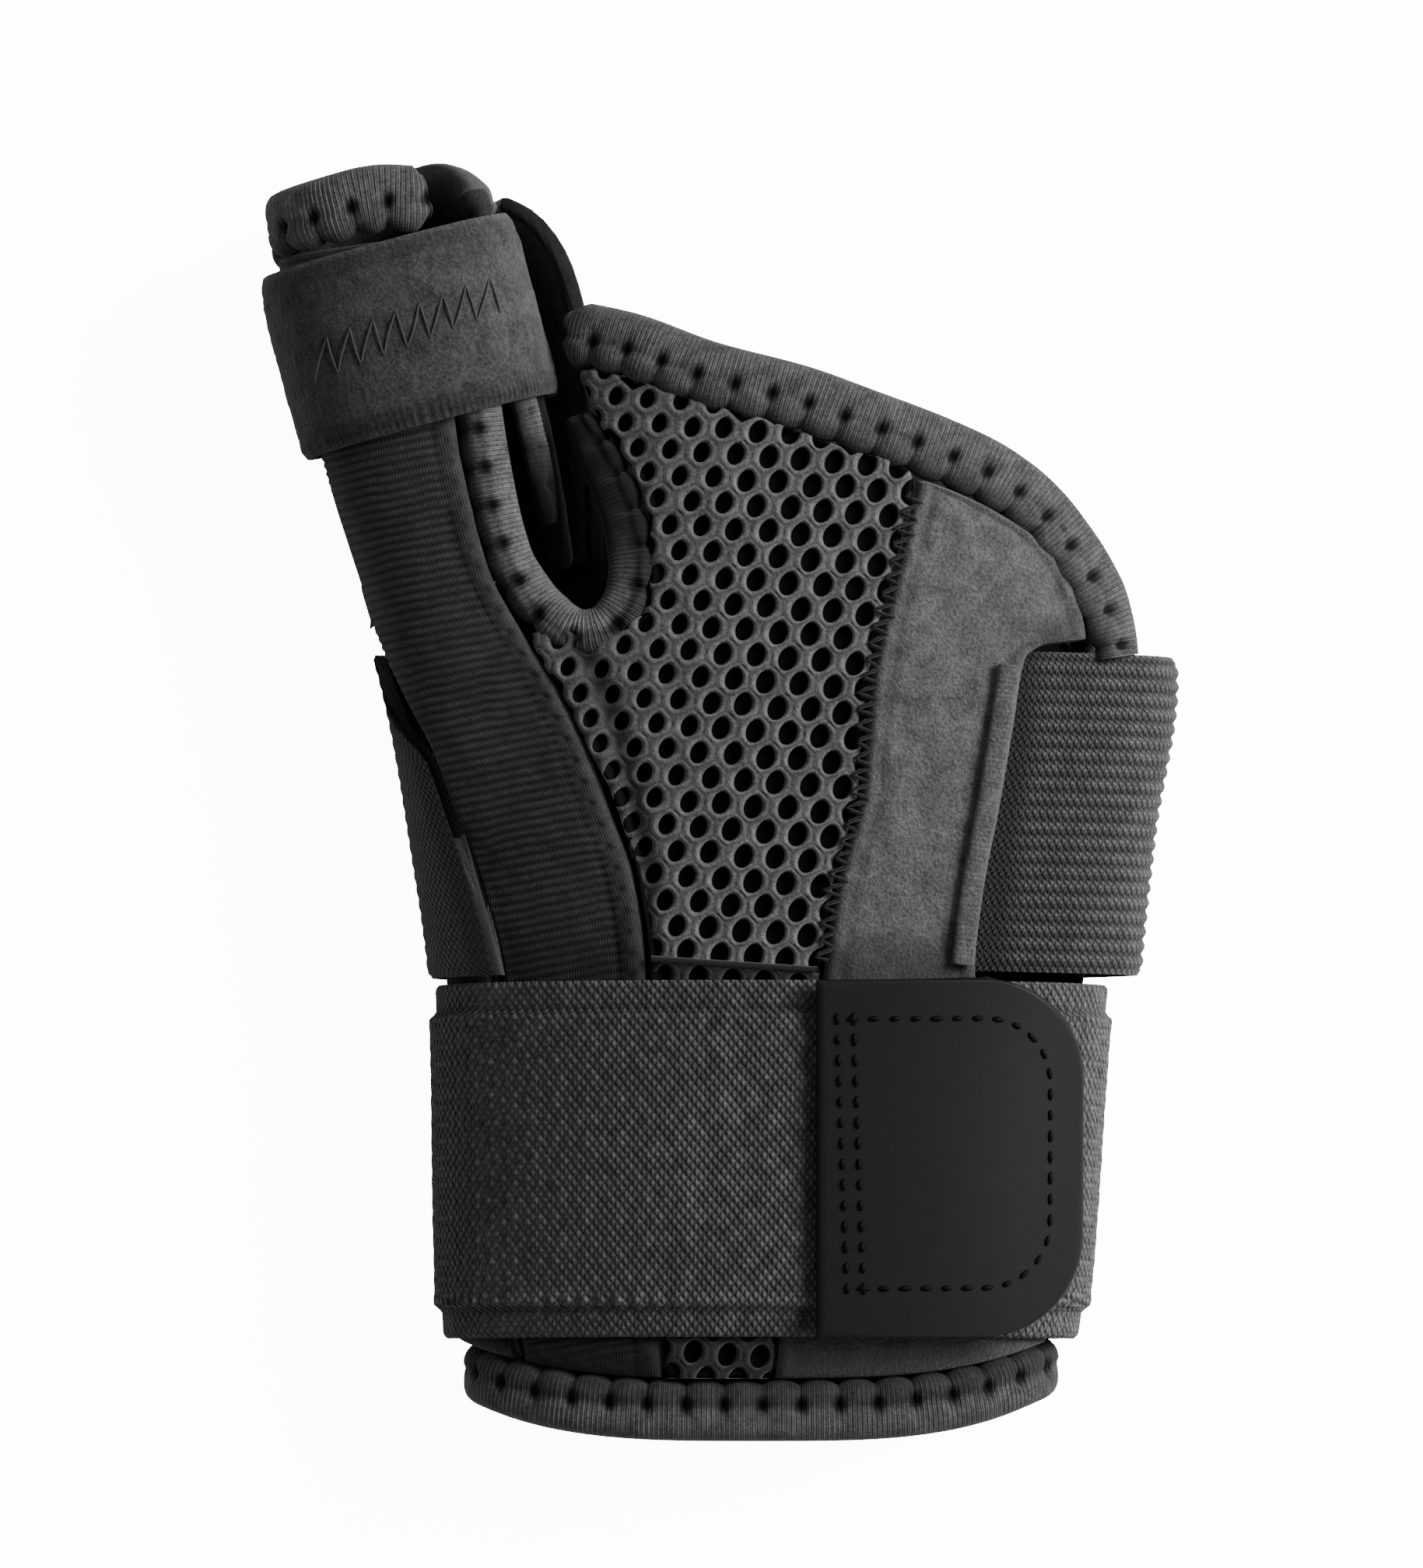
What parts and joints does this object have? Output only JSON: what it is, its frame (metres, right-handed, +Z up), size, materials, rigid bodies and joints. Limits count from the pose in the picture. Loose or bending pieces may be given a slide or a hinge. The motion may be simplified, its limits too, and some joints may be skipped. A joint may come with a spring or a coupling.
{
  "type": "thumb spica splint",
  "caption": "Soft wrist and thumb brace: padded shell with a thumb tube, ribbed thumb-side sleeve, holed mesh palm, bound edges and wrap-round straps.",
  "frame": {"origin": "on the surface that it lies on, under the middle of its outline", "axes": "+Y from the cuff to the thumb's tip, +X to the right seen from the palm side, +Z up out of the palm side"},
  "size_m": [0.1296, 0.1798, 0.042],
  "materials": {
    "ribbed_cloth": "matte knitted cloth with fine ribs across",
    "spacer_mesh": "thick warp-knitted mesh with oval holes over black",
    "brushed_cloth": "brushed loop cloth, soft and matte",
    "back_cloth": "plain matte knitted cloth",
    "brushed_strap": "fuzzy loop strap with a thin zigzag seam",
    "binding_tape": "satin binding tape with overlock ribs",
    "looped_elastic": "looped elastic webbing",
    "ribbed_elastic": "elastic webbing with ribs along it",
    "tab_sheet": "smooth matte sheet"
  },
  "bodies": {
    "root": {"stay_sleeve": "ribbed_cloth", "mesh_panel": "spacer_mesh", "palm_panel": "brushed_cloth", "palm_piping": "brushed_cloth", "back_panel": "back_cloth", "thumb_back": "back_cloth", "thumb_web": "back_cloth", "thumb_strap": "brushed_strap", "thumb_rim_front": "binding_tape", "thumb_rim_back": "binding_tape", "thumb_edge_strip": "binding_tape", "hand_binding": "binding_tape", "back_binding": "binding_tape", "slit_binding": "binding_tape", "cuff_binding": "binding_tape", "lower_strap": "looped_elastic", "upper_strap": "ribbed_elastic", "hook_tab": "tab_sheet"}
  },
  "joints": []
}
